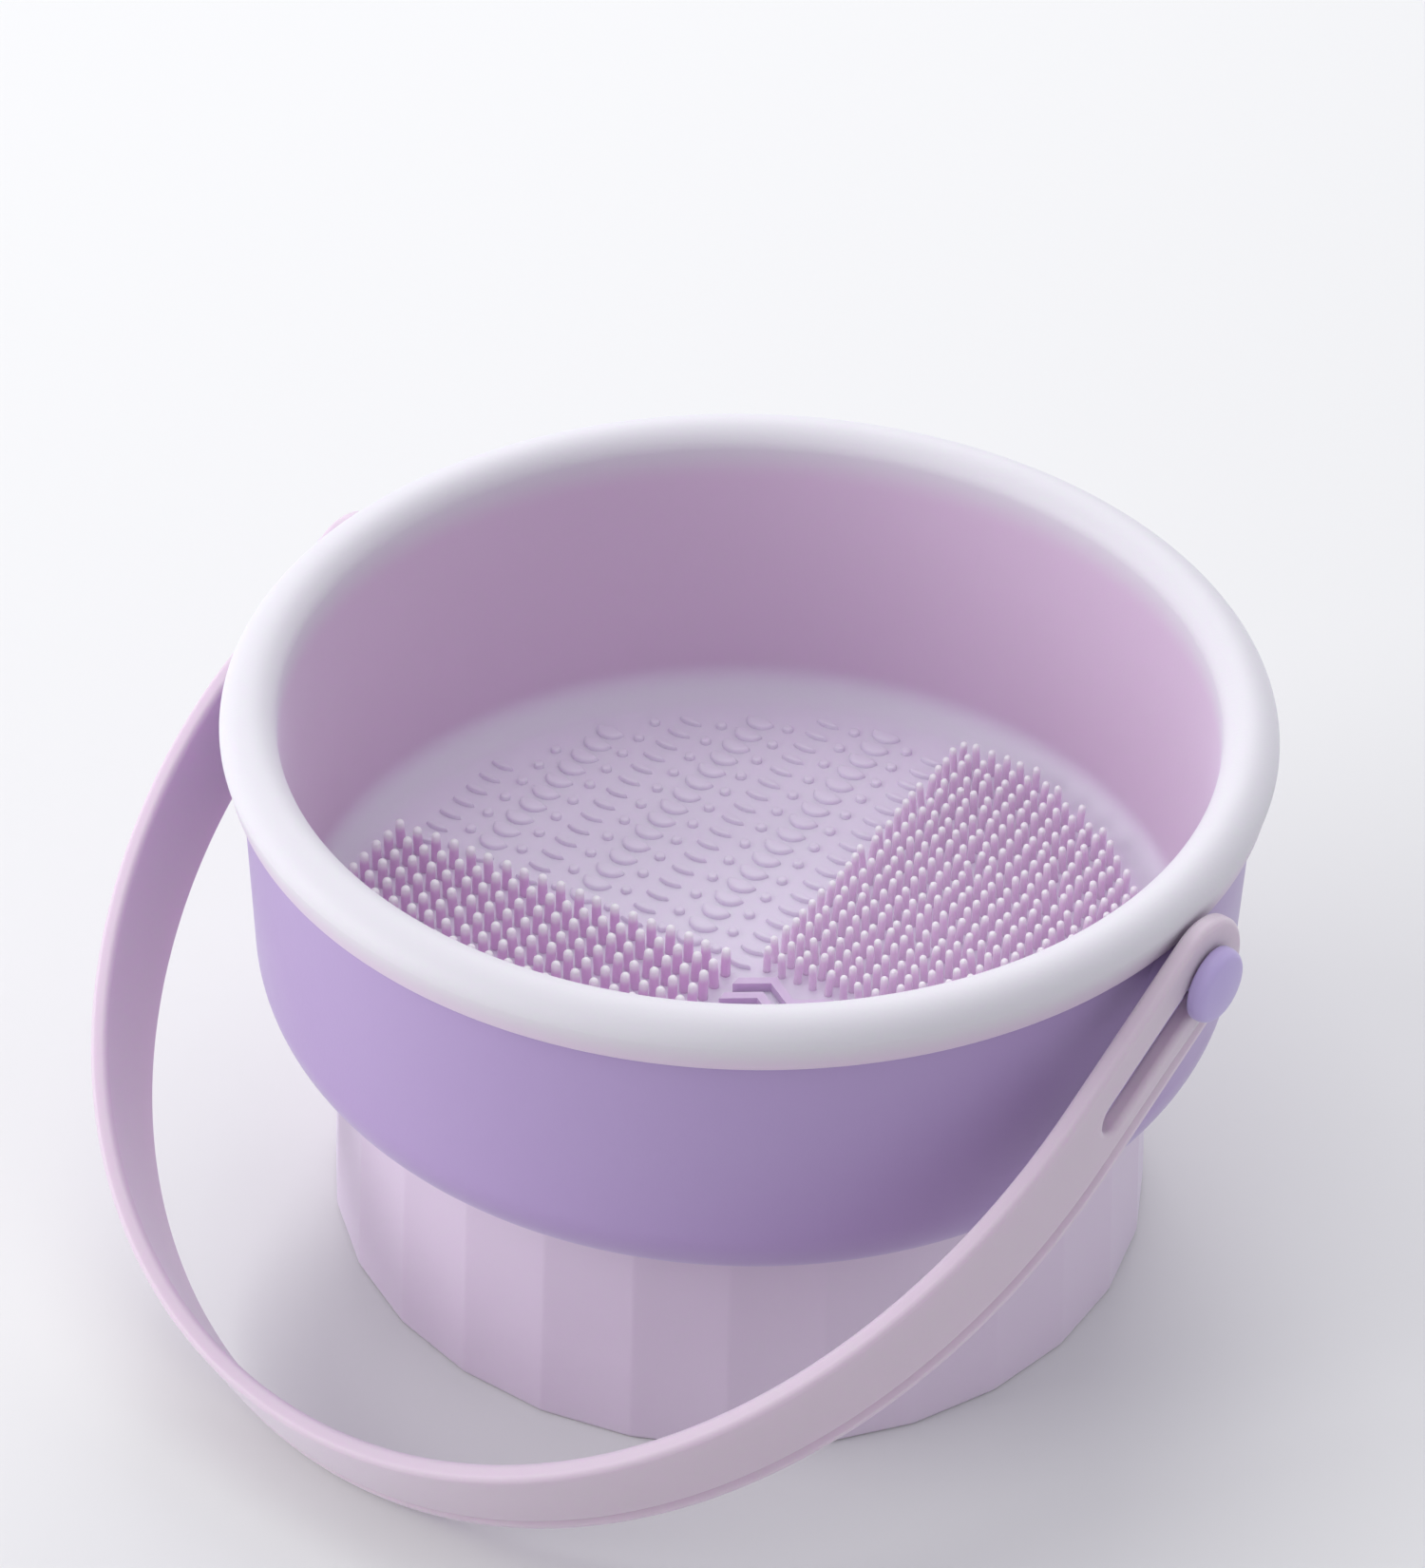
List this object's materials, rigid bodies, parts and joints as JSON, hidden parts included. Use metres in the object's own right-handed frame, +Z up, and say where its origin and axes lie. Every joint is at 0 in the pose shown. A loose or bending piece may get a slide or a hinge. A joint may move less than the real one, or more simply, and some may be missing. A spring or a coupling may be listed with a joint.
{
  "type": "brush cleaner",
  "caption": "Round soft-lined washing bowl with bristle and relief textures on its floor, a strap handle on two studs and a faceted stand to rest on",
  "frame": {"origin": "centre of the stand's flat foot, where it rests on the table", "axes": "+Z up along the bowl's axis, X along the axis of the two studs, the handle hangs towards -Y"},
  "size_m": [0.1632, 0.1721, 0.089],
  "materials": {
    "stand": "satin pale lilac plastic",
    "bowl_shell": "satin purple plastic",
    "liner": "matt very pale lilac silicone",
    "bristles": "matt lilac silicone",
    "studs": "satin purple plastic",
    "strap": "matt lilac silicone"
  },
  "bodies": {
    "stand": {"stand": "stand"},
    "bowl": {"bowl_shell": "bowl_shell", "liner": "liner", "coarse_bristles": "bristles", "fine_bristles": "bristles", "relief_leaves": "liner", "relief_dots": "liner", "relief_crescents": "liner", "zigzag_ridges": "bristles"},
    "studs": {"stud_left": "studs", "stud_right": "studs"},
    "handle": {"strap_handle": "strap"}
  },
  "joints": [
    {"name": "bowl_lift", "type": "slide", "parent": "stand", "child": "bowl", "axis": [0, 0, 1], "range_m": [0, 0.08]},
    {"name": "handle_swing", "type": "hinge", "parent": "bowl", "child": "studs", "pos_m": [0, 0, 0.0764], "axis": [-1, 0, 0], "range_deg": [0, 255]},
    {"name": "handle_shift", "type": "slide", "parent": "studs", "child": "handle", "axis": [0, 0.8902, 0.4555], "range_m": [0, 0.021]}
  ]
}
